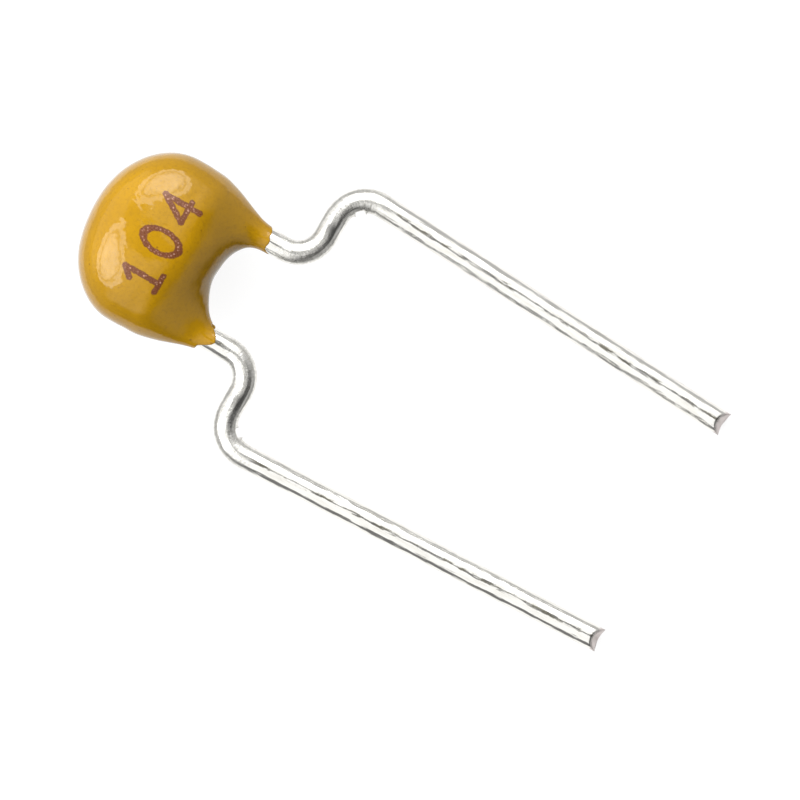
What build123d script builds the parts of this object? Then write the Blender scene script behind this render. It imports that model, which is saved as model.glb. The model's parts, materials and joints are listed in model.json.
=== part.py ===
from build123d import *

import math
import os

os.makedirs("parts", exist_ok=True)

# Multilayer ceramic capacitor: a small ceramic chip with a formed wire lead soldered to
# each end, dipped in epoxy. All sizes are in millimetres.
#
# It is drawn lying flat, with X along the leads towards their tips, Y across the pair
# and Z through the thickness. X = 0 is the run of wire that crosses from each narrow
# shoulder to its wide knee. At the end the whole part is tilted a little, so that it
# rests on its belly and its two lead tips, as a loose one does on a table.

# Ceramic chip, over its terminations
chip_length = 1.80
chip_width = 1.25
chip_height = 1.00
chip_edge_radius = 0.06
chip_centre_x = -2.92

# Terminations: fired metal caps on the chip's two ends
termination_wall = 0.04
termination_band = 0.40

# Electrodes: thin metal layers, each open to one end of the chip only
electrodes_per_side = 6
electrode_thickness = 0.02
electrode_cover = 0.065
electrode_side_margin = 0.16
electrode_end_margin = 0.20

# Leads
wire_diameter = 0.50
lead_pitch = 5.08
lead_reach = 8.95
toe_in = 2.6
shoulder_radius = 0.62
knee_radius = 0.68
lead_overrun = 0.155
tip_facet_length = 0.15
tip_edge_thickness = 0.06

# Solder between each lead and its termination
solder_film = 0.03
solder_overlap = 0.04
solder_step = 0.12
solder_end_gap = 0.06

# Epoxy coat: its depth over what it covers, and where it is widest
coat_side_wall = 0.435
coat_top_wall = 0.70
coat_back_wall = 0.905
coat_front_wall = 0.695
coat_widest_offset = 0.18
coat_front_squareness = 3.0
coat_top_squareness = 2.2

# The coat's two legs, where it runs down onto the leads
leg_wall = 0.03
leg_bare_gap = 0.38
leg_straight = 0.10
leg_root_depth = 0.80
leg_root_flat = 0.20
leg_root_half_width = 0.76
leg_root_half_height = 0.80
leg_root_inset = 0.12

# Worked out: the chip and what is on it
block_length = chip_length - 2 * termination_wall
block_width = chip_width - 2 * termination_wall
block_height = chip_height - 2 * termination_wall
chip_back_x = chip_centre_x - chip_width / 2
chip_front_x = chip_centre_x + chip_width / 2
electrode_count = 2 * electrodes_per_side
electrode_stack = block_height - 2 * electrode_cover - electrode_thickness
electrode_pitch = electrode_stack / (electrode_count - 1)
solder_height = chip_height - 2 * solder_step

# Worked out: the leads run past the chip's two ends, inside the coat
wire_radius = wire_diameter / 2
lead_inner_y = chip_length / 2 + solder_film + wire_radius
lead_start_x = chip_back_x - lead_overrun

# Worked out: the coat and its legs
coat_half_width = lead_inner_y + wire_radius + coat_side_wall
coat_half_height = chip_height / 2 + coat_top_wall
coat_widest_x = chip_centre_x - coat_widest_offset
coat_back_length = coat_widest_x - (chip_back_x - coat_back_wall)
coat_front_length = chip_front_x + coat_front_wall - coat_widest_x
leg_radius = wire_radius + leg_wall
leg_end_x = -shoulder_radius - leg_bare_gap
leg_root_x = chip_front_x + coat_front_wall - leg_root_depth
leg_length = leg_end_x - leg_root_x
leg_flare = leg_length - leg_straight - leg_root_flat

SIDES = {"left": 1, "right": -1}


# ---------------------------------------------------------------- leads


def lead_direction(side):
    """The way the long straight part of a lead points, towards its tip."""
    angle = math.radians(toe_in)
    return Vector(math.cos(angle), -side * math.sin(angle), 0)


def lead_corners(side):
    """The corner points of a lead's centre line before its bends are rounded."""
    knee_y = lead_pitch / 2 + lead_reach * math.tan(math.radians(toe_in))
    return [
        (lead_start_x, side * lead_inner_y),
        (0, side * lead_inner_y),
        (0, side * knee_y),
        (lead_reach, side * lead_pitch / 2),
    ]


def tip_cutters(side):
    """The two wedges that pinch-cutting takes off above and below a lead's tip."""
    tip = lead_corners(side)[-1]
    local = Plane(origin=tip, x_dir=lead_direction(side), z_dir=(0, 0, 1))
    edge = tip_edge_thickness / 2
    wedge = Polyline(
        (-tip_facet_length, wire_radius),
        (0, edge),
        (wire_diameter, edge),
        (wire_diameter, wire_diameter),
        (-tip_facet_length, wire_diameter),
        close=True,
    )
    upper = extrude(Plane.XZ * make_face(wedge), amount=wire_diameter, both=True)
    lower = mirror(upper, about=Plane.XY)
    return local * upper, local * lower


def make_lead(side):
    path = FilletPolyline(*lead_corners(side), radius=[shoulder_radius, knee_radius])
    start = Plane(origin=path @ 0, z_dir=path % 0)
    wire = sweep(start * Circle(wire_radius), path=path)
    for cutter in tip_cutters(side):
        wire -= cutter
    return wire


# ---------------------------------------------------------------- chip


def chip_box(length, width, height):
    return Pos(chip_centre_x, 0, 0) * Box(width, length, height)


def electrode_slot(index):
    """One electrode's layer: even ones open to the left end, odd ones to the right."""
    side = 1 if index % 2 == 0 else -1
    length = block_length - electrode_end_margin
    z = (index - (electrode_count - 1) / 2) * electrode_pitch
    y = side * (block_length - length) / 2
    width = block_width - 2 * electrode_side_margin
    return Pos(chip_centre_x, y, z) * Box(width, length, electrode_thickness)


def make_rounded_block():
    block = chip_box(block_length, block_width, block_height)
    return fillet(block.edges(), chip_edge_radius)


def make_termination(side, block):
    cap = chip_box(chip_length, chip_width, chip_height)
    cap = fillet(cap.edges(), chip_edge_radius)
    band_y = side * (chip_length - termination_band) / 2
    band = Pos(chip_centre_x, band_y, 0) * Box(2 * chip_width, termination_band, 2 * chip_height)
    return (cap & band) - block


def make_solder(side, lead):
    """Solder that fills the corners between the wire and the chip's end."""
    length = chip_width - 2 * solder_end_gap
    face_y = side * chip_length / 2
    wire_y = side * lead_inner_y
    outline = Polyline(
        (face_y, -solder_height / 2),
        (wire_y, -wire_radius - solder_overlap),
        (wire_y, wire_radius + solder_overlap),
        (face_y, solder_height / 2),
        close=True,
    )
    across = Plane(origin=(chip_centre_x, 0, 0), x_dir=(0, 1, 0), z_dir=(1, 0, 0))
    return extrude(across * make_face(outline), amount=length / 2, both=True) - lead


# ---------------------------------------------------------------- epoxy coat


def coat_section(x, y, half_width, half_height):
    across = Plane(origin=(x, y, 0), x_dir=(0, 1, 0), z_dir=(1, 0, 0))
    return across * Ellipse(half_width, half_height)


def squared_round(t, squareness):
    """Height at distance t along a round nose of length 1: 2 is an ellipse, more is squarer."""
    return (1 - t**squareness) ** (1 / squareness)


def make_torso():
    """The pillow that covers the chip: a domed back end and a squarer, rounded front."""
    ball = scale(Sphere(1), by=(coat_back_length, coat_half_width, coat_half_height))
    back_space = Box(2 * coat_back_length, 2 * coat_half_width, 2 * coat_half_height)
    back = Pos(coat_widest_x, 0, 0) * (ball & Pos(-coat_back_length, 0, 0) * back_space)
    steps = 9
    sections = []
    for step in range(steps):
        t = math.sin(step / steps * math.pi / 2)
        x = coat_widest_x + coat_front_length * t
        width = coat_half_width * squared_round(t, coat_front_squareness)
        height = coat_half_height * squared_round(t, coat_top_squareness)
        sections.append(coat_section(x, 0, width, height))
    return back + loft(sections)


def make_leg(side):
    """The coat's run-down along one lead, from inside the pillow to a thin end."""
    end_outer_y = lead_inner_y + leg_radius
    root_outer_y = coat_half_width - leg_root_inset
    steps = 7
    sections = []
    for step in range(steps + 1):
        back = leg_length * step / steps
        t = min(max((back - leg_straight) / leg_flare, 0), 1)
        rise = (1 - math.cos(math.pi * t)) / 2
        half_width = leg_radius + rise * (leg_root_half_width - leg_radius)
        half_height = leg_radius + rise * (leg_root_half_height - leg_radius)
        outer_y = end_outer_y + rise * (root_outer_y - end_outer_y)
        y = side * (outer_y - half_width)
        sections.append(coat_section(leg_end_x - back, y, half_width, half_height))
    return loft(sections)


def make_coat(contents):
    coat = make_torso()
    for side in SIDES.values():
        coat += make_leg(side)
    for piece in contents:
        coat -= piece
    return coat


# ---------------------------------------------------------------- whole part


def build():
    pieces = {}
    block = make_rounded_block()
    for name, side in SIDES.items():
        lead = make_lead(side)
        pieces["lead_" + name] = lead
        pieces["solder_" + name] = make_solder(side, lead)
        pieces["termination_" + name] = make_termination(side, block)
    whole_block = block
    for index in range(electrode_count):
        name = "left" if index % 2 == 0 else "right"
        layer = electrode_slot(index)
        block -= layer
        pieces[f"electrode_{name}_{index // 2 + 1}"] = layer
    pieces["ceramic_block"] = block
    outer = [pieces[kind + name] for kind in ("lead_", "solder_", "termination_") for name in SIDES]
    pieces["epoxy_coat"] = make_coat(outer + [whole_block])
    return pieces


def lowest(shape, tilt):
    return shape.rotate(Axis.Y, tilt).bounding_box().min.Z


def rest_tilt(pieces):
    """The tilt about Y, in degrees, that sets the belly and the lead tips on one level."""
    coat = pieces["epoxy_coat"]
    lead = pieces["lead_left"]
    low, high = 0.0, 20.0
    while high - low > 0.001:
        tilt = (low + high) / 2
        if lowest(coat, tilt) < lowest(lead, tilt):
            low = tilt
        else:
            high = tilt
    return (low + high) / 2


def main():
    pieces = build()
    tilt = rest_tilt(pieces)
    tilted = {name: piece.rotate(Axis.Y, tilt) for name, piece in pieces.items()}
    boxes = [tilted[name].bounding_box() for name in ("epoxy_coat", "lead_left", "lead_right")]
    lowest_z = min(box.min.Z for box in boxes)
    centre_x = (min(box.min.X for box in boxes) + max(box.max.X for box in boxes)) / 2
    for name, piece in tilted.items():
        export_step(Pos(-centre_x, 0, -lowest_z) * piece, f"parts/{name}.step")
    print(f"rest tilt {tilt:.3f} degrees, moved by {-centre_x:.4f}, 0, {-lowest_z:.4f}")


main()
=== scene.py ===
import json
import math

import bmesh
import bpy
import numpy as np
from mathutils import Matrix, Vector


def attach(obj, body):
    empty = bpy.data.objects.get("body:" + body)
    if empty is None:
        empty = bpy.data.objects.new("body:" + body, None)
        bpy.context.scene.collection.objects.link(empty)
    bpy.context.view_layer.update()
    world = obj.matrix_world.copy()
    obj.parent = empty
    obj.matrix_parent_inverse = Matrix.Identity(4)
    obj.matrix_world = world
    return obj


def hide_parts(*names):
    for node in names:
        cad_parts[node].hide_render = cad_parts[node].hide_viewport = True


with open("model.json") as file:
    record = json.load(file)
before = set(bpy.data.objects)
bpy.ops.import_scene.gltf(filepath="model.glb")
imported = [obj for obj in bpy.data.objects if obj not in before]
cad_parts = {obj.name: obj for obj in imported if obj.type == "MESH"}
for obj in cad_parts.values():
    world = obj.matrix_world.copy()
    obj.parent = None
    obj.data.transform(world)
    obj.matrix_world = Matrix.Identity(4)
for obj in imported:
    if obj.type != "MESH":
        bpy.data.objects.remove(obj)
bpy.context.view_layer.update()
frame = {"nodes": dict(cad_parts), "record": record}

# ---------------------------------------------------------------- how the part lies
# The capacitor lies on its belly and its two lead tips, so its flat plane dips towards the
# tips. Pieces are shaped flat, in millimetres, with X along the leads and X = 0 at the run
# of wire that crosses from shoulder to knee, and are then laid down on that slope.

MM = 0.001

pin = next(mount for mount in frame["record"]["mounts"] if mount["name"] == "lead_left_pin")
pin_place = Vector(pin["pos_m"])
pin_axis = Vector(pin["axis"])
rest_tilt = math.atan2(-pin_axis.z, pin_axis.x)

wire_radius = 0.25
lead_pitch = 5.08
lead_reach = 8.95
toe_in = math.radians(2.6)
shoulder_radius = 0.62
knee_radius = 0.68
tip_facet_length = 0.15

knee_y = lead_pitch / 2 + lead_reach * math.tan(toe_in)
knee_setback = knee_radius * math.tan((math.pi / 2 + toe_in) / 2)
straight_middle = (knee_setback + lead_reach / math.cos(toe_in) - tip_facet_length) / 2
pin_flat = Vector((straight_middle * math.cos(toe_in), knee_y - straight_middle * math.sin(toe_in), 0))

lay_turn = Matrix.Rotation(rest_tilt, 4, "Y")
lay_place = pin_place - lay_turn @ (pin_flat * MM)
lay_down = Matrix.Translation(lay_place) @ lay_turn @ Matrix.Scale(MM, 4)


def lay(piece):
    """Puts a piece that was shaped flat, in millimetres, where it lies, in metres."""
    bpy.ops.object.select_all(action="DESELECT")
    piece.select_set(True)
    bpy.context.view_layer.objects.active = piece
    piece.matrix_world = lay_down
    bpy.ops.object.transform_apply(location=True, rotation=True, scale=True)


def flat_place(nodes, links):
    """Object coordinates turned back to the flat frame, in millimetres."""
    coordinates = nodes.new("ShaderNodeTexCoord")
    mapping = nodes.new("ShaderNodeMapping")
    mapping.vector_type = "TEXTURE"
    mapping.inputs["Location"].default_value = lay_place
    mapping.inputs["Rotation"].default_value = (0, rest_tilt, 0)
    mapping.inputs["Scale"].default_value = (MM, MM, MM)
    links.new(coordinates.outputs["Object"], mapping.inputs["Vector"])
    return mapping.outputs["Vector"]


def new_material(name):
    material = bpy.data.materials.new(name)
    material.use_nodes = True
    tree = material.node_tree
    shader = tree.nodes["Principled BSDF"]
    return material, tree.nodes, tree.links, shader


def mix_colour(nodes, links, factor, first, second):
    """A colour mix. Each of the two colours is a socket or a plain colour."""
    mix = nodes.new("ShaderNodeMix")
    mix.data_type = "RGBA"
    links.new(factor, mix.inputs["Factor"])
    for socket, value in ((mix.inputs["A"], first), (mix.inputs["B"], second)):
        if isinstance(value, bpy.types.NodeSocket):
            links.new(value, socket)
        else:
            socket.default_value = (*value, 1)
    return mix.outputs["Result"]


def arithmetic(nodes, links, operation, *values, clamp=False):
    node = nodes.new("ShaderNodeMath")
    node.operation = operation
    node.use_clamp = clamp
    for socket, value in zip(node.inputs, values):
        if isinstance(value, bpy.types.NodeSocket):
            links.new(value, socket)
        else:
            socket.default_value = value
    return node.outputs["Value"]


# The grain that every finish uses is one shared group.
grain_tree = bpy.data.node_groups.new("grain", "ShaderNodeTree")
grain_tree.interface.new_socket("Place", in_out="INPUT", socket_type="NodeSocketVector")
for socket_name in ("Scale", "Detail", "Roughness"):
    grain_tree.interface.new_socket(socket_name, in_out="INPUT", socket_type="NodeSocketFloat")
grain_tree.interface.new_socket("Grain", in_out="OUTPUT", socket_type="NodeSocketFloat")
grain_in = grain_tree.nodes.new("NodeGroupInput")
grain_out = grain_tree.nodes.new("NodeGroupOutput")
grain_texture = grain_tree.nodes.new("ShaderNodeTexNoise")
grain_tree.links.new(grain_in.outputs["Place"], grain_texture.inputs["Vector"])
for socket_name in ("Scale", "Detail", "Roughness"):
    grain_tree.links.new(grain_in.outputs[socket_name], grain_texture.inputs[socket_name])
grain_tree.links.new(grain_texture.outputs["Fac"], grain_out.inputs["Grain"])


def noise(nodes, links, place, scale, detail=2.0, roughness=0.5):
    node = nodes.new("ShaderNodeGroup")
    node.node_tree = grain_tree
    node.inputs["Scale"].default_value = scale
    node.inputs["Detail"].default_value = detail
    node.inputs["Roughness"].default_value = roughness
    links.new(place, node.inputs["Place"])
    return node.outputs["Grain"]


def spread(nodes, links, value, low, high, out_low=0.0, out_high=1.0):
    """Stretches a value between two levels, smoothly, and holds it past them."""
    node = nodes.new("ShaderNodeMapRange")
    node.interpolation_type = "SMOOTHSTEP"
    links.new(value, node.inputs["Value"])
    node.inputs["From Min"].default_value = low
    node.inputs["From Max"].default_value = high
    node.inputs["To Min"].default_value = out_low
    node.inputs["To Max"].default_value = out_high
    return node.outputs["Result"]


def bump(nodes, links, height, distance, strength, shader):
    node = nodes.new("ShaderNodeBump")
    node.inputs["Strength"].default_value = strength
    node.inputs["Distance"].default_value = distance
    links.new(height, node.inputs["Height"])
    links.new(node.outputs["Normal"], shader.inputs["Normal"])


def finish_node(name, material):
    """Gives a piece carried over from the frame its finish."""
    piece = frame["nodes"][name]
    piece.data.materials.clear()
    piece.data.materials.append(material)


# ---------------------------------------------------------------- ceramic block
# The chip's body: barium titanate ceramic, cast in thin sheets, stacked, cut and fired in one
# piece. It is matt and brown grey, with a fine grain and faint lines where the sheets joined.

ceramic, nodes, links, shader = new_material("fired_ceramic")
place = flat_place(nodes, links)
grain = noise(nodes, links, place, 40.0, 4.0, 0.6)
parts = nodes.new("ShaderNodeSeparateXYZ")
links.new(place, parts.inputs["Vector"])
layers = arithmetic(nodes, links, "MULTIPLY", parts.outputs["Z"], 90.0)
layers = arithmetic(nodes, links, "SINE", layers)
layers = arithmetic(nodes, links, "MULTIPLY_ADD", layers, 0.15, grain)
layers = spread(nodes, links, layers, 0.2, 0.8)
colour = mix_colour(nodes, links, layers, (0.13, 0.09, 0.06), (0.26, 0.19, 0.13))
links.new(colour, shader.inputs["Base Color"])
links.new(spread(nodes, links, grain, 0.3, 0.7, 0.55, 0.8), shader.inputs["Roughness"])
bump(nodes, links, grain, 0.000004, 0.4, shader)
finish_node("ceramic_block", ceramic)

# ---------------------------------------------------------------- electrodes
# Thin nickel layers printed between the ceramic sheets, open to the left or the right end.

nickel, nodes, links, shader = new_material("fired_nickel")
place = flat_place(nodes, links)
grain = noise(nodes, links, place, 60.0, 3.0, 0.6)
colour = mix_colour(nodes, links, grain, (0.30, 0.28, 0.25), (0.52, 0.49, 0.44))
links.new(colour, shader.inputs["Base Color"])
links.new(spread(nodes, links, grain, 0.3, 0.7, 0.3, 0.5), shader.inputs["Roughness"])
shader.inputs["Metallic"].default_value = 1.0
bump(nodes, links, grain, 0.000003, 0.3, shader)
for name in frame["nodes"]:
    if name.startswith("electrode_"):
        finish_node(name, nickel)

# ---------------------------------------------------------------- terminations
# The chip's two end caps: metal paste, dipped on, fired and tinned. The surface is a little
# lumpy and pale.

end_metal, nodes, links, shader = new_material("fired_end_metal")
place = flat_place(nodes, links)
lumps = noise(nodes, links, place, 14.0, 3.0, 0.55)
colour = mix_colour(nodes, links, lumps, (0.50, 0.49, 0.46), (0.74, 0.73, 0.70))
links.new(colour, shader.inputs["Base Color"])
links.new(spread(nodes, links, lumps, 0.3, 0.7, 0.28, 0.48), shader.inputs["Roughness"])
shader.inputs["Metallic"].default_value = 1.0
bump(nodes, links, lumps, 0.00001, 0.4, shader)
finish_node("termination_left", end_metal)
finish_node("termination_right", end_metal)

# ---------------------------------------------------------------- solder
# Solder that ran in between each wire and its end cap and froze there, bright with a soft,
# slightly frosted skin.

solder, nodes, links, shader = new_material("frozen_solder")
place = flat_place(nodes, links)
frost = noise(nodes, links, place, 25.0, 5.0, 0.6)
colour = mix_colour(nodes, links, frost, (0.44, 0.44, 0.44), (0.68, 0.68, 0.67))
links.new(colour, shader.inputs["Base Color"])
links.new(spread(nodes, links, frost, 0.35, 0.65, 0.18, 0.4), shader.inputs["Roughness"])
shader.inputs["Metallic"].default_value = 1.0
bump(nodes, links, frost, 0.000006, 0.4, shader)
finish_node("solder_left", solder)
finish_node("solder_right", solder)

# ---------------------------------------------------------------- leads
# Two tinned copper-clad steel wires, 0.5 mm round. Each is kinked outwards in a press, which
# leaves a small nick inside the knee, runs straight to its tip with a slight toe-in, and is
# pinched off there, so the tip is a blunt chisel.

lead_start_x = -3.70
ring_spacing = 0.045
tip_edge_height = 0.03
facet_bow = 0.035
edge_hollow = 0.05
nick_depth = 0.06
nick_length = 0.34
burr_height = 0.04


def path_runs(stub_y, shoulder_shift):
    """The centre line as straight and curved runs: the length and turn of each."""
    turn = math.pi / 2
    knee_turn = turn + toe_in
    first = -lead_start_x - shoulder_radius + shoulder_shift
    across = knee_y - stub_y - shoulder_radius - knee_setback + shoulder_shift * math.tan(toe_in)
    last = (lead_reach - shoulder_shift) / math.cos(toe_in) - knee_setback
    return [
        (first, 0.0),
        (shoulder_radius * turn, turn),
        (across, 0.0),
        (knee_radius * knee_turn, -knee_turn),
        (last, 0.0),
    ]


def bend_along(points, stub_y, runs):
    """Maps points on a straight rod along X onto the wire's bent centre line."""
    bent = np.empty_like(points)
    start = 0.0
    here = np.array([lead_start_x, stub_y])
    heading = 0.0
    for index, (length, turn) in enumerate(runs):
        last = index == len(runs) - 1
        inside = points[:, 0] >= start - 1e-9
        if not last:
            inside &= points[:, 0] < start + length - 1e-9
        along = points[inside, 0] - start
        if turn:
            angle = heading + turn * along / length
            radius = length / turn
            centre_x = here[0] + radius * (np.sin(angle) - math.sin(heading))
            centre_y = here[1] - radius * (np.cos(angle) - math.cos(heading))
        else:
            angle = np.full_like(along, heading)
            centre_x = here[0] + along * math.cos(heading)
            centre_y = here[1] + along * math.sin(heading)
        bent[inside, 0] = centre_x - points[inside, 1] * np.sin(angle)
        bent[inside, 1] = centre_y + points[inside, 1] * np.cos(angle)
        bent[inside, 2] = points[inside, 2]
        if turn:
            radius = length / turn
            gone_x = math.sin(heading + turn) - math.sin(heading)
            gone_y = math.cos(heading) - math.cos(heading + turn)
            here = here + radius * np.array([gone_x, gone_y])
            heading += turn
        else:
            here = here + length * np.array([math.cos(heading), math.sin(heading)])
        start += length
    return bent


def read_points(piece):
    points = np.empty(len(piece.data.vertices) * 3)
    piece.data.vertices.foreach_get("co", points)
    return points.reshape(-1, 3)


def write_points(piece, points):
    piece.data.vertices.foreach_set("co", points.reshape(-1))
    piece.data.update()


def make_rod(name, length, knee_middle):
    """A straight rod along X, with rings close enough to bend, and closer at its worked places."""
    bpy.ops.object.select_all(action="DESELECT")
    bpy.ops.mesh.primitive_cylinder_add(
        vertices=40,
        radius=wire_radius,
        depth=length,
        location=(length / 2, 0, 0),
        rotation=(0, math.pi / 2, 0),
    )
    rod = bpy.context.object
    rod.name = name
    bpy.ops.object.transform_apply(location=True, rotation=True, scale=True)
    bpy.ops.object.mode_set(mode="EDIT")
    bpy.ops.mesh.select_all(action="DESELECT")
    bpy.ops.mesh.select_mode(type="EDGE")
    mesh = bmesh.from_edit_mesh(rod.data)
    for edge in mesh.edges:
        edge.select_set(abs(edge.verts[0].co.x - edge.verts[1].co.x) > length / 2)
    bmesh.update_edit_mesh(rod.data)
    bpy.ops.mesh.subdivide(number_cuts=round(length / ring_spacing))
    bpy.ops.mesh.select_all(action="DESELECT")
    mesh = bmesh.from_edit_mesh(rod.data)
    for edge in mesh.edges:
        ends = [corner.co.x for corner in edge.verts]
        worked = min(ends) > length - 0.32 or abs(sum(ends) / 2 - knee_middle) < 0.26
        edge.select_set(worked and max(ends) - min(ends) > 0.01)
    bmesh.update_edit_mesh(rod.data)
    bpy.ops.mesh.subdivide(number_cuts=3)
    for end in (0, length):
        bpy.ops.mesh.select_all(action="DESELECT")
        bpy.ops.mesh.select_mode(type="FACE")
        mesh = bmesh.from_edit_mesh(rod.data)
        for face in mesh.faces:
            face.select_set(len(face.verts) > 4 and abs(face.calc_center_median().x - end) < 0.001)
        bmesh.update_edit_mesh(rod.data)
        bpy.ops.mesh.inset(thickness=0.03)
    bpy.ops.object.mode_set(mode="OBJECT")
    return rod


def shape_rod(rod, length, knee_middle):
    """The pinched tip, the nick inside the knee and the wire's slight unevenness."""
    points = read_points(rod)
    from_tip = length - points[:, 0]
    # each jaw presses a sloping facet with a bowed edge, and the cut edge is a little hollow
    bow = facet_bow * (1 - (points[:, 1] / wire_radius) ** 2)
    facet_rise = (wire_radius - tip_edge_height) * from_tip / (tip_facet_length + bow)
    facet_height = tip_edge_height + facet_rise
    height = np.abs(points[:, 2])
    gap = np.clip(0.5 + 0.5 * (height - facet_height) / 0.03, 0, 1)
    pressed = height + (facet_height - height) * gap - 0.03 * gap * (1 - gap)
    pinched = (from_tip < tip_facet_length + 0.1) & (height > tip_edge_height)
    points[pinched, 2] = (np.sign(points[:, 2]) * np.maximum(pressed, tip_edge_height))[pinched]
    hollow = edge_hollow * (1 - (points[:, 1] / wire_radius) ** 2)
    points[:, 0] -= hollow * np.clip(1 - from_tip / 0.3, 0, 1)
    along = points[:, 0]
    radius = np.hypot(points[:, 1], points[:, 2])
    angle = np.arctan2(points[:, 2], points[:, 1])
    uneven = 0.0025 * np.sin(along * 2.3 + 1.0) + 0.0015 * np.sin(along * 5.1 + 2.0 * angle)
    new_radius = radius + uneven * (from_tip > tip_facet_length)
    scale = np.where(radius > 0.1, new_radius / np.maximum(radius, 1e-6), 1.0)
    points[:, 1] *= scale
    points[:, 2] *= scale
    # the press leaves a short flat inside the knee, with a small burr at each end of it
    from_nick = np.abs(along - knee_middle)
    pressed = np.clip((nick_length / 2 - from_nick) / 0.03, 0, 1)
    points[:, 1] = np.maximum(points[:, 1], -wire_radius + nick_depth * pressed)
    burr = np.exp(-(((from_nick - nick_length / 2 - 0.015) / 0.02) ** 2))
    points[:, 1] -= burr_height * burr * (points[:, 1] < -0.9 * wire_radius)
    write_points(rod, points)


# Wire finish: bright tin with fine draw lines, a dashed dark line painted along the top as a
# painted reflection of the dark gap overhead, with the small dents seen in it, a crosswise grain
# where the bends stretched the tin, and bare, pinkish copper and steel where the tip was cut.
wire_finish, nodes, links, shader = new_material("bright_tinned_wire")
rod_place = nodes.new("ShaderNodeAttribute")
rod_place.attribute_name = "rod_place"
work_mark = nodes.new("ShaderNodeAttribute")
work_mark.attribute_name = "work_mark"
marks = nodes.new("ShaderNodeSeparateXYZ")
links.new(work_mark.outputs["Vector"], marks.inputs["Vector"])
bent = marks.outputs["X"]
cut = marks.outputs["Y"]
along_wire = nodes.new("ShaderNodeMapping")
along_wire.inputs["Scale"].default_value = (0.2, 1.0, 1.0)
links.new(rod_place.outputs["Vector"], along_wire.inputs["Vector"])
across_wire = nodes.new("ShaderNodeMapping")
across_wire.inputs["Scale"].default_value = (1.0, 0.3, 0.3)
links.new(rod_place.outputs["Vector"], across_wire.inputs["Vector"])
draw_lines = noise(nodes, links, along_wire.outputs["Vector"], 30.0, 4.0, 0.6)
streaks = noise(nodes, links, along_wire.outputs["Vector"], 9.0, 3.0, 0.6)
waves = noise(nodes, links, along_wire.outputs["Vector"], 13.0, 1.0, 0.5)
stretch_grain = noise(nodes, links, across_wire.outputs["Vector"], 26.0, 4.0, 0.7)
parts = nodes.new("ShaderNodeSeparateXYZ")
links.new(rod_place.outputs["Vector"], parts.inputs["Vector"])
# Painted reflection: dark flecks along the top of each straight run stand in for the dashed dark line
# that the gap overhead mirrors there.
fleck_noise = noise(nodes, links, along_wire.outputs["Vector"], 14.0, 3.0, 0.6)
near_top = arithmetic(nodes, links, "ABSOLUTE", parts.outputs["Y"])
near_top = spread(nodes, links, near_top, 0.02, 0.055, 1.0, 0.0)
above = spread(nodes, links, parts.outputs["Z"], 0.1, 0.2)
painted_reflection_flecks = spread(nodes, links, fleck_noise, 0.52, 0.60)
painted_reflection_flecks = arithmetic(nodes, links, "MULTIPLY", painted_reflection_flecks, near_top)
painted_reflection_flecks = arithmetic(nodes, links, "MULTIPLY", painted_reflection_flecks, above)
painted_reflection_flecks = arithmetic(nodes, links, "MULTIPLY", painted_reflection_flecks, arithmetic(nodes, links, "SUBTRACT", 1.0, bent))
streak_mask = spread(nodes, links, streaks, 0.4, 0.75)
tone = mix_colour(nodes, links, streak_mask, (0.95, 0.945, 0.92), (0.87, 0.86, 0.82))
grain_mask = spread(nodes, links, stretch_grain, 0.38, 0.62)
grain_mask = arithmetic(nodes, links, "MULTIPLY", grain_mask, bent)
grain_tone = arithmetic(nodes, links, "MULTIPLY", grain_mask, 0.38)
tone = mix_colour(nodes, links, grain_tone, tone, (0.42, 0.41, 0.36))
tone = mix_colour(nodes, links, painted_reflection_flecks, tone, (0.26, 0.25, 0.21))
tone = mix_colour(nodes, links, cut, tone, (0.78, 0.72, 0.71))
links.new(tone, shader.inputs["Base Color"])
rough = spread(nodes, links, streaks, 0.3, 0.75, 0.08, 0.15)
rough = arithmetic(nodes, links, "MULTIPLY_ADD", bent, 0.15, rough)
rough = arithmetic(nodes, links, "MULTIPLY_ADD", cut, 0.25, rough)
links.new(arithmetic(nodes, links, "MULTIPLY_ADD", painted_reflection_flecks, 0.2, rough), shader.inputs["Roughness"])
shader.inputs["Metallic"].default_value = 1.0
heights = arithmetic(nodes, links, "MULTIPLY", grain_mask, 0.22)
heights = arithmetic(nodes, links, "MULTIPLY_ADD", draw_lines, 0.4, heights)
heights = arithmetic(nodes, links, "MULTIPLY_ADD", waves, 2.6, heights)
bump(nodes, links, heights, 0.000008, 0.5, shader)

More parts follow.
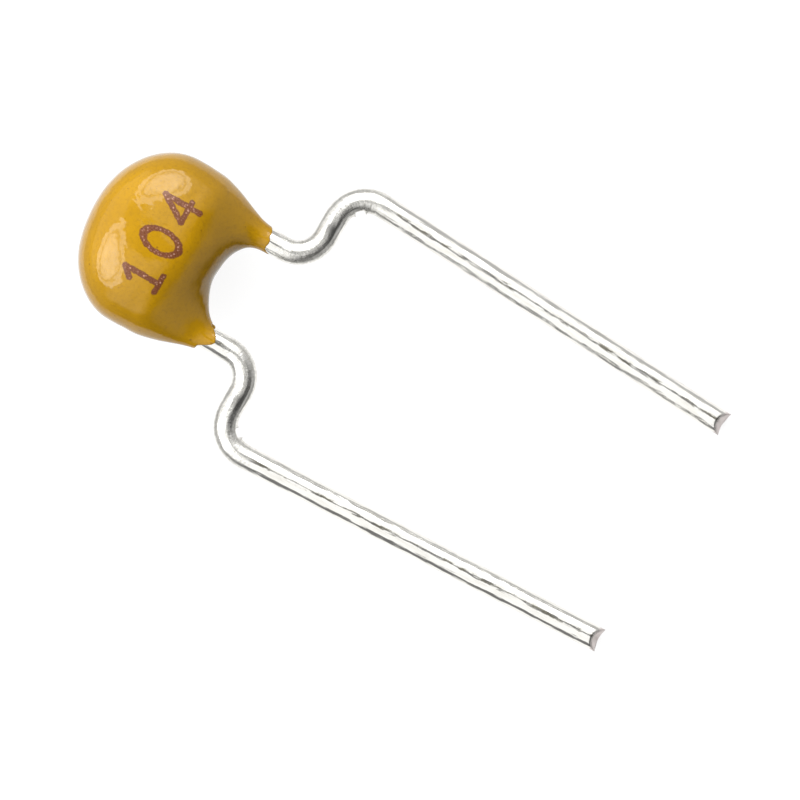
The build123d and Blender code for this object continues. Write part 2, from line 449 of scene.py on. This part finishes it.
# Each wire's side, how far out it enters the coat, and how far its shoulder slid in the press
wire_sets = (("left", 1, 1.15, -0.04), ("right", -1, 1.185, 0.045))
for name, side, stub_y, shoulder_shift in wire_sets:
    runs = path_runs(stub_y, shoulder_shift)
    length = sum(run[0] for run in runs)
    knee_middle = sum(run[0] for run in runs[:3]) + runs[3][0] * 0.5
    lead = make_rod("lead_" + name + "_wire", length, knee_middle)
    straight = read_points(lead)
    shape_rod(lead, length, knee_middle)
    points = bend_along(read_points(lead), stub_y, runs)
    points[:, 1] *= side
    write_points(lead, points)
    kept_place = lead.data.attributes.new("rod_place", "FLOAT_VECTOR", "POINT")
    kept_place.data.foreach_set("vector", (straight + (side * 20.0, 0, 0)).reshape(-1))
    worked = np.zeros_like(straight)
    start = 0.0
    for run_length, turn in runs:
        if turn:
            middle = start + run_length / 2
            worked[:, 0] += np.clip((run_length * 0.75 - np.abs(straight[:, 0] - middle)) / 0.25, 0, 1)
        start += run_length
    worked[:, 0] = np.minimum(worked[:, 0], 1.0)
    facet_edge = tip_facet_length - 0.03 + 0.045 * (1 - (straight[:, 1] / wire_radius) ** 2)
    worked[:, 1] = np.clip((facet_edge - (length - straight[:, 0])) / 0.02, 0, 1)
    kept_work = lead.data.attributes.new("work_mark", "FLOAT_VECTOR", "POINT")
    kept_work.data.foreach_set("vector", worked.reshape(-1))
    lead.data.materials.append(wire_finish)
    lay(lead)
    bpy.ops.object.mode_set(mode="EDIT")
    bpy.ops.mesh.select_all(action="SELECT")
    bpy.ops.mesh.normals_make_consistent(inside=False)
    bpy.ops.object.mode_set(mode="OBJECT")
    bpy.ops.object.shade_smooth_by_angle(angle=math.radians(38))
    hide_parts("lead_" + name)
    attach(lead, "root")

# ---------------------------------------------------------------- epoxy coat
# The dipped body: the soldered chip goes head first into liquid epoxy, which draws itself
# round into a pillow, hangs in an arch between the two wires and creeps a little way down
# each of them before it cures.

coat_half_width = 1.865
coat_half_height = 1.20
coat_widest_x = -3.10
coat_back_length = 1.35
coat_front_length = 1.50
leg_radius = 0.265
leg_root_half_height = 1.14
leg_slope_x = -1.08
leg_slope_length = 2.2
leg_limit_x = -0.72
blend_width = 0.32
arch_rise = 0.14

# Seen from above, each leg's outer and inner edge as it runs down from the pillow
leg_x = [-2.6, -2.2, -2.0, -1.8, -1.6, -1.4, -1.2, -1.0]
leg_outer = {
    1: [1.68, 1.65, 1.62, 1.58, 1.54, 1.48, 1.42, 1.41],
    -1: [1.74, 1.71, 1.68, 1.65, 1.61, 1.56, 1.51, 1.47],
}
leg_inner = {
    1: [0.10, 0.24, 0.34, 0.46, 0.61, 0.78, 0.87, 0.89],
    -1: [0.06, 0.14, 0.20, 0.29, 0.44, 0.66, 0.89, 0.93],
}

# How far down the wire each leg's end comes, from the arch's side of the wire to its outside
leg_end_y = {
    1: [0.90, 0.92, 0.95, 1.01, 1.08, 1.15, 1.22, 1.28, 1.34, 1.42],
    -1: [0.93, 0.97, 1.08, 1.205, 1.28, 1.355, 1.43],
}
leg_end_x = {
    1: [-0.84, -0.92, -0.97, -0.985, -0.97, -0.975, -1.02, -1.01, -1.02, -1.06],
    -1: [-1.13, -1.06, -0.95, -0.905, -0.955, -1.07, -1.19],
}


def torso_field(x, y, z):
    """About the distance outside the pillow, in millimetres."""
    along = x - coat_widest_x
    front_length = coat_front_length + arch_rise * (1 - np.exp(-((y / 0.60) ** 2)))
    back = np.abs(np.minimum(along, 0) / coat_back_length) ** 2
    front = np.abs(np.maximum(along, 0) / front_length) ** 2.7
    plan = back + front + (y / coat_half_width) ** 2
    nose = np.clip(along / 1.3, 0, 1)
    nose = nose * nose * (3 - 2 * nose)
    total = plan ** (1.22 - 0.50 * nose) + np.abs(z / coat_half_height) ** (2.5 - 0.4 * nose)
    return (np.sqrt(total) - 1) * coat_half_height


def eased(at, table_at, table):
    """Reads a table with its corners rounded off."""
    shifts = (-0.14, -0.07, 0.0, 0.07, 0.14)
    return sum(np.interp(at + shift, table_at, table) for shift in shifts) / len(shifts)


def leg_field(x, y, z, side):
    """About the distance outside one leg, which thins out over its wire."""
    y = y * side
    outer = eased(x, leg_x, leg_outer[side])
    inner = eased(x, leg_x, leg_inner[side])
    half_width = (outer - inner) / 2
    centre = (outer + inner) / 2
    rise = np.clip((leg_slope_x - x) / leg_slope_length, 0, 1)
    rise = rise * rise * (3 - 2 * rise)
    half_height = leg_radius + rise * (leg_root_half_height - leg_radius)
    end_x = np.interp(y, leg_end_y[side], leg_end_x[side])
    end_x = np.where(z < 0, end_x - 0.05 + 0.06 * np.sin(9 * y), end_x)
    # past its end the leg dives under the wire's skin
    sunk_radius = wire_radius - 0.035
    past = np.clip((x - end_x + 0.04) / 0.06, 0, 1)
    past = past * past * (3 - 2 * past)
    half_width = half_width + past * (sunk_radius - half_width)
    half_height = half_height + past * (sunk_radius - half_height)
    off_axis = np.hypot((y - centre) / half_width, z / half_height) - 1
    field = off_axis * np.minimum(half_width, half_height)
    field = np.maximum(field, x - leg_limit_x)
    return field + np.maximum(-2.3 - x, 0) ** 2 * 0.9


def coat_field(points):
    x, y, z = points.T
    lump = 0.010 * np.sin(2.1 * x + 1.3 * y + 0.4) + 0.008 * np.sin(3.4 * y - 1.7 * x + 1.1)
    field = torso_field(x, y, z) + lump
    for side in (1, -1):
        leg = leg_field(x, y, z, side)
        near = np.clip(0.5 + 0.5 * (field - leg) / blend_width, 0, 1)
        field = field + (leg - field) * near - blend_width * near * (1 - near)
    return field


def draw_onto_surface(points, rounds):
    """Moves each point straight up or down the field until it lies on the coat's skin."""
    step = 0.002
    for _ in range(rounds):
        here = coat_field(points)
        slope = np.stack([coat_field(points + step * axis) - here for axis in np.eye(3)], axis=1) / step
        size = np.maximum((slope**2).sum(axis=1, keepdims=True), 0.05)
        move = -here[:, None] * slope / size
        length = np.maximum(np.linalg.norm(move, axis=1, keepdims=True), 1e-9)
        points = points + move * np.minimum(1.0, 0.08 / length)
    return points


bpy.ops.object.select_all(action="DESELECT")
bpy.ops.mesh.primitive_uv_sphere_add(
    segments=48,
    ring_count=24,
    radius=1,
    location=(coat_widest_x, 0, 0),
)
coat = bpy.context.object
coat.name = "coat"
coat.scale = (1.40, coat_half_width, coat_half_height)
bpy.ops.object.transform_apply(location=True, rotation=True, scale=True)
for side in (1, -1):
    bpy.ops.mesh.primitive_cone_add(
        vertices=32,
        radius1=0.62,
        radius2=leg_radius,
        depth=1.7,
        location=(-1.55, side * 1.10, 0),
        rotation=(0, math.pi / 2, 0),
    )
    leg = bpy.context.object
    bpy.ops.object.transform_apply(location=True, rotation=True, scale=True)
    bpy.ops.object.select_all(action="DESELECT")
    leg.select_set(True)
    coat.select_set(True)
    bpy.context.view_layer.objects.active = coat
    bpy.ops.object.join()
# One closed skin round the three rough shapes, drawn onto the coat's true form, and made
# finer where the thin legs end.
skin_spacing = 0.045
fine_legs_x = -1.45
skin = coat.modifiers.new("skin", "REMESH")
skin.mode = "VOXEL"
skin.voxel_size = skin_spacing
bpy.ops.object.modifier_apply(modifier="skin")
ease = coat.modifiers.new("ease", "SMOOTH")
ease.iterations = 6
bpy.ops.object.modifier_apply(modifier="ease")
write_points(coat, draw_onto_surface(read_points(coat), 8))
ease = coat.modifiers.new("ease", "SMOOTH")
ease.iterations = 4
bpy.ops.object.modifier_apply(modifier="ease")
bpy.ops.object.mode_set(mode="EDIT")
bpy.ops.mesh.select_all(action="DESELECT")
bpy.ops.mesh.select_mode(type="FACE")
mesh = bmesh.from_edit_mesh(coat.data)
for face in mesh.faces:
    face.select_set(face.calc_center_median().x > fine_legs_x)
bmesh.update_edit_mesh(coat.data)
bpy.ops.mesh.subdivide(number_cuts=2)
bpy.ops.object.mode_set(mode="OBJECT")
write_points(coat, draw_onto_surface(read_points(coat), 8))
bpy.ops.object.shade_smooth()

# Epoxy finish: glossy mustard yellow, cloudy with pigment, with fine brown specks and a
# slightly rippled skin.
epoxy, nodes, links, shader = new_material("dipped_epoxy")
place = flat_place(nodes, links)
cloud = noise(nodes, links, place, 1.3, 3.0, 0.5)
mottle = noise(nodes, links, place, 15.0, 4.0, 0.7)
cloud = spread(nodes, links, cloud, 0.3, 0.7)
colour = mix_colour(nodes, links, cloud, (0.50, 0.262, 0.002), (0.45, 0.234, 0.003))
mottling = arithmetic(nodes, links, "MULTIPLY", spread(nodes, links, mottle, 0.45, 0.72), 0.45)
colour = mix_colour(nodes, links, mottling, colour, (0.33, 0.165, 0.006))


def specks(scale, size, keep):
    """Scattered small spots: a mask that is 1 on a spot, with only some cells having one."""
    cells = nodes.new("ShaderNodeTexVoronoi")
    cells.inputs["Scale"].default_value = scale
    links.new(place, cells.inputs["Vector"])
    chance = nodes.new("ShaderNodeSeparateColor")
    links.new(cells.outputs["Color"], chance.inputs["Color"])
    kept = arithmetic(nodes, links, "LESS_THAN", chance.outputs["Red"], keep)
    spot = spread(nodes, links, cells.outputs["Distance"], size * 0.3, size, 1.0, 0.0)
    return arithmetic(nodes, links, "MULTIPLY", spot, kept)


large_specks = arithmetic(nodes, links, "MULTIPLY", specks(5.0, 0.17, 0.14), 0.7)
colour = mix_colour(nodes, links, large_specks, colour, (0.20, 0.085, 0.004))
small_specks = arithmetic(nodes, links, "MULTIPLY", specks(12.0, 0.26, 0.045), 0.6)
colour = mix_colour(nodes, links, small_specks, colour, (0.24, 0.11, 0.004))

# Ink: the value printed on the top face in generic figures, 104. Each stroke is a straight
# line between two points or a ring, in a reddish-brown ink with pale dots painted in as
# glints. The figures read along +Y with their tops towards -X.

stroke_tree = bpy.data.node_groups.new("ink_stroke", "ShaderNodeTree")
for socket_name in ("Place", "Start", "End"):
    stroke_tree.interface.new_socket(socket_name, in_out="INPUT", socket_type="NodeSocketVector")
stroke_tree.interface.new_socket("Distance", in_out="OUTPUT", socket_type="NodeSocketFloat")
group_in = stroke_tree.nodes.new("NodeGroupInput")
group_out = stroke_tree.nodes.new("NodeGroupOutput")


def vector_step(operation, first, second=None, scale=None):
    node = stroke_tree.nodes.new("ShaderNodeVectorMath")
    node.operation = operation
    stroke_tree.links.new(first, node.inputs[0])
    if second is not None:
        stroke_tree.links.new(second, node.inputs[1])
    if scale is not None:
        stroke_tree.links.new(scale, node.inputs["Scale"])
    return node


reach = vector_step("SUBTRACT", group_in.outputs["Place"], group_in.outputs["Start"]).outputs["Vector"]
line = vector_step("SUBTRACT", group_in.outputs["End"], group_in.outputs["Start"]).outputs["Vector"]
along = vector_step("DOT_PRODUCT", reach, line).outputs["Value"]
line_square = vector_step("DOT_PRODUCT", line, line).outputs["Value"]
share = arithmetic(stroke_tree.nodes, stroke_tree.links, "DIVIDE", along, line_square, clamp=True)
nearest = vector_step("SCALE", line, scale=share).outputs["Vector"]
away = vector_step("DISTANCE", reach, nearest).outputs["Value"]
stroke_tree.links.new(away, group_out.inputs["Distance"])

figure_height = 0.80
figure_width = 0.46
figure_step = 0.77
figure_x = -2.95
figure_y = 0.05
stroke_half_width = 0.062

# Strokes of each figure: across from the figure's left, and up from its foot, each 0 to 1
figure_strokes = {
    "1": [((0.5, 0.0), (0.5, 1.0)), ((0.5, 1.0), (0.12, 0.74)), ((0.1, 0.0), (0.9, 0.0))],
    "4": [((0.75, 0.0), (0.75, 1.0)), ((0.75, 1.0), (0.0, 0.3)), ((0.0, 0.3), (1.0, 0.3))],
}


def on_face(figure, across, up):
    """A point of a figure on the flat place, from its own across and up."""
    y = figure_y + (figure - 1) * figure_step + (across - 0.5) * figure_width
    x = figure_x + (0.5 - up) * figure_height
    return (x, y, 0)


level_place = nodes.new("ShaderNodeVectorMath")
level_place.operation = "MULTIPLY"
level_place.inputs[1].default_value = (1, 1, 0)
wobble = nodes.new("ShaderNodeTexNoise")
wobble.inputs["Scale"].default_value = 9.0
links.new(place, wobble.inputs["Vector"])
wobbled = nodes.new("ShaderNodeVectorMath")
wobbled.operation = "MULTIPLY_ADD"
wobbled.inputs[1].default_value = (0.05, 0.05, 0)
links.new(wobble.outputs["Color"], wobbled.inputs[0])
links.new(place, wobbled.inputs[2])
links.new(wobbled.outputs["Vector"], level_place.inputs[0])
ink_distance = None
for figure, digit in enumerate("104"):
    for start, end in figure_strokes.get(digit, []):
        stroke = nodes.new("ShaderNodeGroup")
        stroke.node_tree = stroke_tree
        links.new(level_place.outputs["Vector"], stroke.inputs["Place"])
        stroke.inputs["Start"].default_value = on_face(figure, *start)
        stroke.inputs["End"].default_value = on_face(figure, *end)
        distance = stroke.outputs["Distance"]
        if ink_distance is not None:
            distance = arithmetic(nodes, links, "MINIMUM", ink_distance, distance)
        ink_distance = distance
    if digit == "0":
        centred = nodes.new("ShaderNodeMapping")
        centred.vector_type = "TEXTURE"
        centred.inputs["Location"].default_value = on_face(figure, 0.5, 0.5)
        centred.inputs["Scale"].default_value = (figure_height / 2, figure_width / 2, 1)
        links.new(level_place.outputs["Vector"], centred.inputs["Vector"])
        ring = nodes.new("ShaderNodeVectorMath")
        ring.operation = "LENGTH"
        links.new(centred.outputs["Vector"], ring.inputs[0])
        off_ring = arithmetic(nodes, links, "SUBTRACT", ring.outputs["Value"], 1.0)
        off_ring = arithmetic(nodes, links, "ABSOLUTE", off_ring)
        off_ring = arithmetic(nodes, links, "MULTIPLY", off_ring, 0.27)
        ink_distance = arithmetic(nodes, links, "MINIMUM", ink_distance, off_ring)

# Painted highlight: pale dots scattered inside the strokes stand in for glints of light on the ink.
dots = nodes.new("ShaderNodeTexVoronoi")
dots.inputs["Scale"].default_value = 20.0
links.new(place, dots.inputs["Vector"])
painted_glint_centre = spread(nodes, links, dots.outputs["Distance"], 0.18, 0.52, 1.0, 0.0)
ink_grain = noise(nodes, links, place, 30.0, 3.0, 0.6)
ink_distance = arithmetic(nodes, links, "MULTIPLY_ADD", ink_grain, 0.035, ink_distance)
inked = spread(nodes, links, ink_distance, stroke_half_width + 0.005, stroke_half_width + 0.03, 1.0, 0.0)
parts = nodes.new("ShaderNodeSeparateXYZ")
links.new(place, parts.inputs["Vector"])
inked = arithmetic(nodes, links, "MULTIPLY", inked, spread(nodes, links, parts.outputs["Z"], 0.1, 0.3))
inside = spread(nodes, links, ink_distance, stroke_half_width - 0.03, stroke_half_width, 1.0, 0.0)
chance = nodes.new("ShaderNodeSeparateColor")
links.new(dots.outputs["Color"], chance.inputs["Color"])
# Painted glints: a lighter ink colour on some dot centres inside the strokes.
painted_glint_dots = arithmetic(nodes, links, "MULTIPLY", painted_glint_centre, inside)
painted_glint_dots = arithmetic(nodes, links, "MULTIPLY", painted_glint_dots, chance.outputs["Green"])
ink_colour = mix_colour(nodes, links, ink_grain, (0.12, 0.034, 0.012), (0.23, 0.075, 0.030))
ink_colour = mix_colour(nodes, links, painted_glint_dots, ink_colour, (0.62, 0.34, 0.25))
colour = mix_colour(nodes, links, inked, colour, ink_colour)
links.new(colour, shader.inputs["Base Color"])
sheen = spread(nodes, links, mottle, 0.3, 0.7, 0.05, 0.09)
links.new(arithmetic(nodes, links, "MULTIPLY_ADD", inked, 0.2, sheen), shader.inputs["Roughness"])
shader.inputs["Specular IOR Level"].default_value = 0.58
shader.inputs["Specular Tint"].default_value = (1.0, 0.94, 0.84, 1)
ripple = noise(nodes, links, place, 3.2, 2.0, 0.5)
skin_height = arithmetic(nodes, links, "MULTIPLY_ADD", mottle, 0.012, ripple)
skin_height = arithmetic(nodes, links, "MULTIPLY_ADD", inked, 0.05, skin_height)
bump(nodes, links, skin_height, 0.000025, 0.5, shader)
coat.data.materials.append(epoxy)
lay(coat)
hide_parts("epoxy_coat")
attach(coat, "root")

# ---------------------------------------------------------------- floor
# A plain white sheet that the part lies on. It keeps the part's soft shadow.

bpy.ops.object.select_all(action="DESELECT")
bpy.ops.mesh.primitive_circle_add(vertices=96, radius=0.4, fill_type="NGON", location=(0, 0, 0))
floor = bpy.context.object
floor.name = "floor_sheet"
paper, nodes, links, shader = new_material("white_sheet")
shader.inputs["Base Color"].default_value = (0.12, 0.12, 0.12, 1)
shader.inputs["Roughness"].default_value = 0.9
seen = nodes.new("ShaderNodeLightPath")
glow = arithmetic(nodes, links, "MULTIPLY", seen.outputs["Is Camera Ray"], 0.92)
links.new(glow, shader.inputs["Emission Strength"])
shader.inputs["Emission Color"].default_value = (1, 1, 1, 1)
# Mirrored rays go through to the room's own white ground, which has the same tone all round.
let_through = nodes.new("ShaderNodeBsdfTransparent")
choice = nodes.new("ShaderNodeMixShader")
links.new(seen.outputs["Is Glossy Ray"], choice.inputs["Fac"])
links.new(shader.outputs["BSDF"], choice.inputs[1])
links.new(let_through.outputs["BSDF"], choice.inputs[2])
links.new(choice.outputs["Shader"], nodes["Material Output"].inputs["Surface"])
floor.data.materials.append(paper)

# ---------------------------------------------------------------- light
# Two large round soft boxes, one at the far left and one behind, each with a bright middle
# inside a dimmer rim, and a room with pale walls, dark overhead and in front.


def soft_box(name, direction, distance, width, height, power):
    light = bpy.data.lights.new(name, "AREA")
    light.shape = "ELLIPSE"
    light.size = width
    light.size_y = height
    light.energy = power
    light.use_nodes = True
    nodes = light.node_tree.nodes
    links = light.node_tree.links
    surface = nodes.new("ShaderNodeNewGeometry")
    middle = nodes.new("ShaderNodeVectorMath")
    middle.operation = "DISTANCE"
    middle.inputs[1].default_value = (0.5, 0.5, 0)
    links.new(surface.outputs["Parametric"], middle.inputs[0])
    across = middle.outputs["Value"]
    cloth = spread(nodes, links, across, 0.20, 0.34, 1.55, 1.0)
    seam = arithmetic(nodes, links, "SUBTRACT", across, 0.36)
    seam = arithmetic(nodes, links, "ABSOLUTE", seam)
    seam = spread(nodes, links, seam, 0.012, 0.034, 0.30, 1.0)
    place = nodes.new("ShaderNodeSeparateXYZ")
    links.new(surface.outputs["Parametric"], place.inputs["Vector"])
    turn = [arithmetic(nodes, links, "SUBTRACT", place.outputs[axis], 0.5) for axis in ("X", "Y")]
    turn = arithmetic(nodes, links, "MULTIPLY", arithmetic(nodes, links, "ARCTAN2", *turn), 4.0)
    rib = arithmetic(nodes, links, "ABSOLUTE", arithmetic(nodes, links, "SINE", turn))
    rib = arithmetic(nodes, links, "MULTIPLY", rib, across)
    rib = spread(nodes, links, rib, 0.01, 0.04, 0.6, 1.0)
    seam = arithmetic(nodes, links, "MULTIPLY", seam, rib)
    strength = arithmetic(nodes, links, "MULTIPLY", cloth, seam)
    links.new(strength, nodes["Emission"].inputs["Strength"])
    lamp = bpy.data.objects.new(name, light)
    bpy.context.collection.objects.link(lamp)
    away = Vector(direction).normalized()
    lamp.location = away * distance
    lamp.rotation_euler = away.to_track_quat("Z", "Y").to_euler()
    return lamp


soft_box("left_box", (-0.60, -0.52, 0.74), 0.30, 0.35, 0.33, 0.90)
soft_box("back_box", (-0.36, 0.74, 0.70), 0.30, 0.36, 0.34, 0.86)

world = bpy.data.worlds.new("pale_room")
bpy.context.scene.world = world
world.use_nodes = True
nodes = world.node_tree.nodes
links = world.node_tree.links
background = nodes["Background"]
look = nodes.new("ShaderNodeTexCoord")
parts = nodes.new("ShaderNodeSeparateXYZ")
links.new(look.outputs["Generated"], parts.inputs["Vector"])
ahead, sideways, up = parts.outputs["X"], parts.outputs["Y"], parts.outputs["Z"]
# Two tall panels stand at the sides and one behind, with soft edges.
to_side = arithmetic(nodes, links, "ABSOLUTE", sideways)
side_panels = spread(nodes, links, to_side, 0.05, 0.16, 0.0, 1.1)
narrow = arithmetic(nodes, links, "ADD", ahead, -0.05)
narrow = arithmetic(nodes, links, "ABSOLUTE", narrow)
narrow = spread(nodes, links, narrow, 0.12, 0.62, 1.0, 0.0)
side_panels = arithmetic(nodes, links, "MULTIPLY", side_panels, narrow)
back_panel = spread(nodes, links, ahead, -0.78, -0.52, 1.05, 0.0)
walls = arithmetic(nodes, links, "MAXIMUM", side_panels, back_panel)
# A dark gap runs round between the panels and the ground, lower behind.
behind = arithmetic(nodes, links, "MINIMUM", ahead, 0.0)
level = arithmetic(nodes, links, "MULTIPLY_ADD", behind, -0.35, up)
above_gap = spread(nodes, links, level, 0.08, 0.32)
walls = arithmetic(nodes, links, "MULTIPLY", walls, above_gap)
ground = spread(nodes, links, level, -0.46, -0.28, 1.05, 0.0)
front_panel = arithmetic(nodes, links, "ADD", up, -0.08)
front_panel = arithmetic(nodes, links, "ABSOLUTE", front_panel)
front_panel = spread(nodes, links, front_panel, 0.08, 0.42, 0.50, 0.0)
in_front = spread(nodes, links, ahead, 0.50, 0.90)
front_panel = arithmetic(nodes, links, "MULTIPLY", front_panel, in_front)
ceiling = spread(nodes, links, ahead, -0.7, 0.6, 0.46, 0.07)
gap_tone = spread(nodes, links, sideways, 0.3, 0.6, 0.0, 0.50)
room = ceiling
for tone in (walls, ground, front_panel, gap_tone):
    room = arithmetic(nodes, links, "MAXIMUM", room, tone)
seen = nodes.new("ShaderNodeLightPath")
fill = spread(nodes, links, ahead, -0.8, 0.7, 0.60, 0.10)
mirrored = nodes.new("ShaderNodeMix")
links.new(seen.outputs["Is Glossy Ray"], mirrored.inputs["Factor"])
links.new(fill, mirrored.inputs["A"])
links.new(room, mirrored.inputs["B"])
room = arithmetic(nodes, links, "MAXIMUM", mirrored.outputs["Result"], seen.outputs["Is Camera Ray"])
links.new(room, background.inputs["Strength"])
background.inputs["Color"].default_value = (1, 0.99, 0.97, 1)

# ---------------------------------------------------------------- camera
# Straight above the part, a long way off, with the leads running down to the right.

camera_height = 0.5
view_width = 16.32 * MM
view_turn = math.radians(30)
view_centre = (0.69 * MM, -0.333 * MM)
camera_data = bpy.data.cameras.new("overhead_camera")
camera_data.sensor_width = 36
camera_data.lens = 36 * camera_height / view_width
camera_data.clip_start = 0.01
camera_data.clip_end = 5
camera = bpy.data.objects.new("overhead_camera", camera_data)
bpy.context.collection.objects.link(camera)
camera.location = (*view_centre, camera_height)
camera.rotation_euler = (0, 0, view_turn)
bpy.context.scene.camera = camera
bpy.context.scene.view_settings.view_transform = "Standard"
